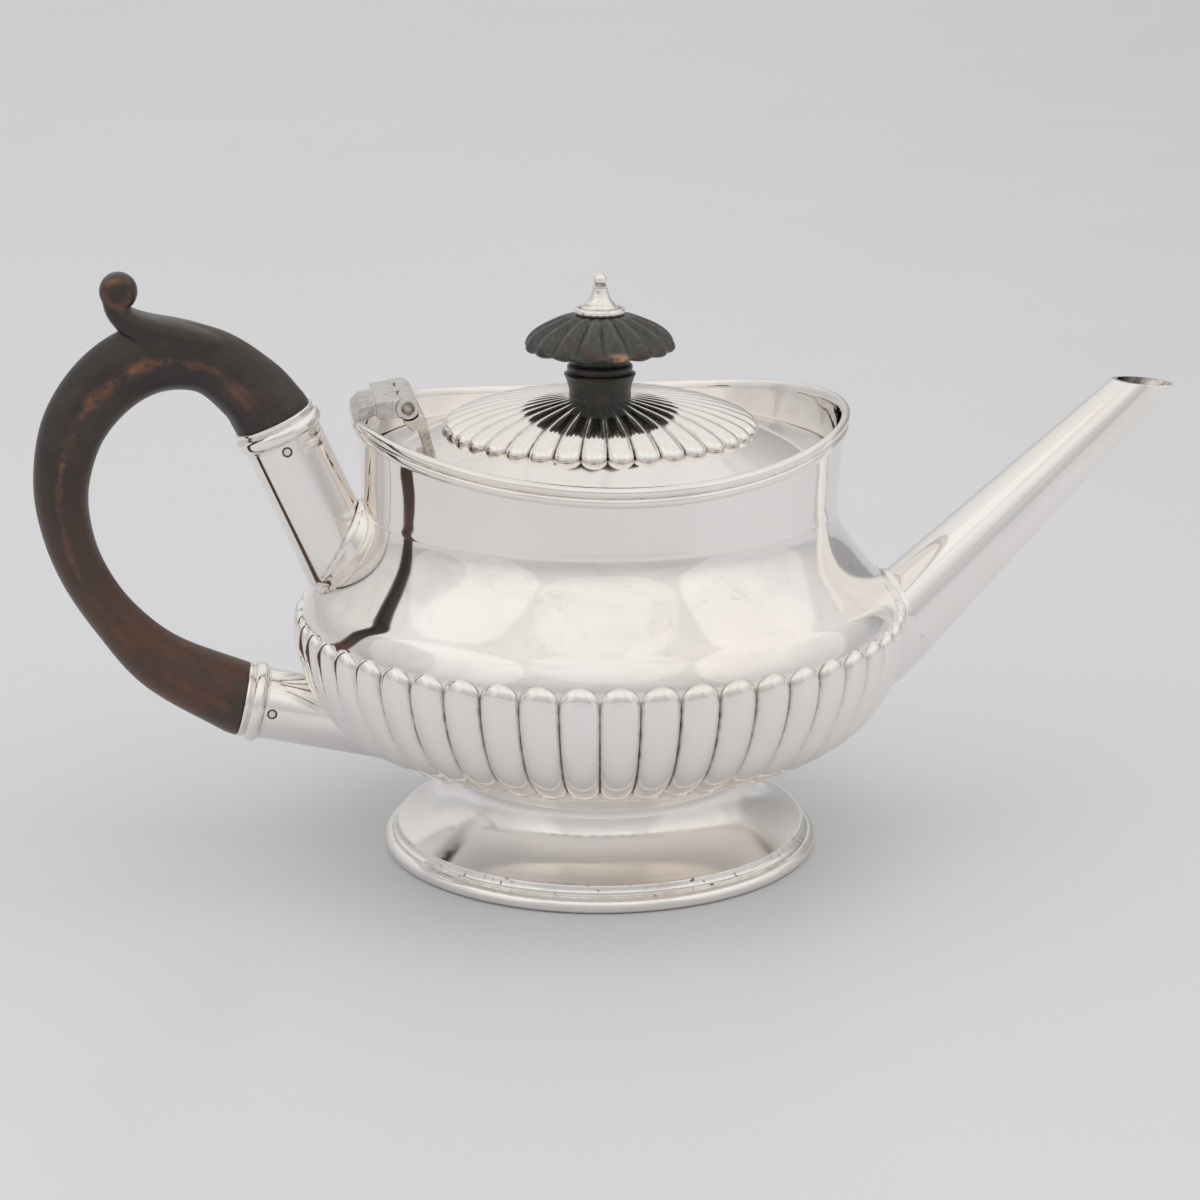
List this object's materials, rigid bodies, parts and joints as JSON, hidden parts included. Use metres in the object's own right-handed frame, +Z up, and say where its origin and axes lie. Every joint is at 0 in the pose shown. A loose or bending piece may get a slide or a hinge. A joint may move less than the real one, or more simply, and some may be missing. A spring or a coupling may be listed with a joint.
{
  "type": "teapot",
  "caption": "Footed silver teapot with a lobed lower body, boat-shaped rim, hinged fluted lid, ebony knob, straight spout and dark wooden scroll handle.",
  "frame": {"origin": "centre of the foot on the surface that the teapot stands on", "axes": "+X towards the spout, +Z up, -X towards the handle"},
  "size_m": [0.2809, 0.152, 0.1465],
  "materials": {
    "silver": "polished solid silver, soft old polish with tarnish in the crevices",
    "handle_wood": "waxed dark fruitwood, worn reddish brown along the ridge",
    "ebony": "satin turned and carved ebony"
  },
  "bodies": {
    "root": {"foot_rim": "silver", "foot_pedestal": "silver", "body_bowl": "silver", "neck_collar": "silver", "rim_moulding": "silver", "lid_seat": "silver", "spout": "silver", "spout_stub": "silver", "upper_socket": "silver", "upper_socket_stub": "silver", "upper_socket_collar": "silver", "lower_socket": "silver", "lower_socket_collar": "silver", "handle": "handle_wood", "upper_peg": "silver", "lower_peg": "silver", "hinge_fixed_leaf": "silver", "hinge_pin": "silver"},
    "lid": {"lid_plate": "silver", "lid_dome": "silver", "lid_hinge_leaf": "silver", "knob_neck": "ebony", "knob_cap": "ebony", "finial_washer": "silver", "finial_spire": "silver", "knob_stud": "silver", "knob_nut": "silver"}
  },
  "joints": [
    {"name": "lid_hinge", "type": "hinge", "parent": "root", "child": "lid", "pos_m": [-0.0477, 0, 0.1144], "axis": [0, -1, 0], "range_deg": [0, 105]}
  ]
}
